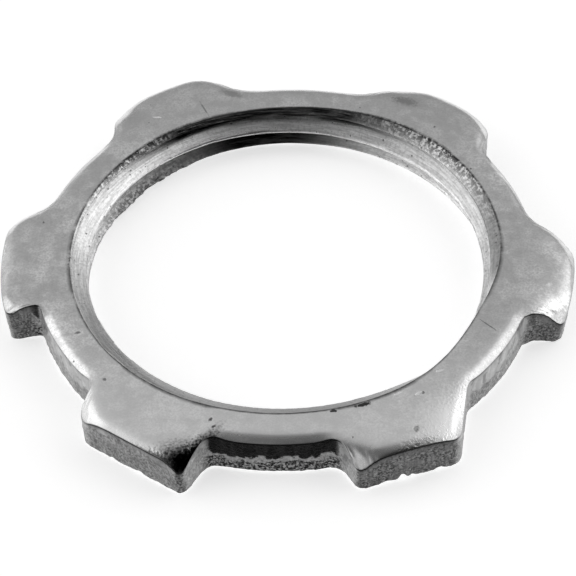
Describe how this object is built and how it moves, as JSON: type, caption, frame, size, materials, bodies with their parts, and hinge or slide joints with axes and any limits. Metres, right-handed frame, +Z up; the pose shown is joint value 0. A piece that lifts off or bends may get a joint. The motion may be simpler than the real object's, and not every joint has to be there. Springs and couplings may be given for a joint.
{
  "type": "conduit locknut",
  "caption": "Stamped steel ring with bent lugs round its rim and a tapped hole, which clamps the end of a conduit or connector in a box knockout.",
  "frame": {"origin": "on the axis of the hole, in the plane of the lug tips that the nut rests on", "axes": "+Z up along the axis of the hole, towards the face that the lugs bend away from; +X through one of the lugs, nearly"},
  "size_m": [0.0573, 0.0535, 0.0046],
  "materials": {
    "zinc_plated_steel": "satin bright zinc plate, worn and nicked, on sheared steel"
  },
  "bodies": {
    "root": {"locknut": "zinc_plated_steel"}
  },
  "joints": []
}
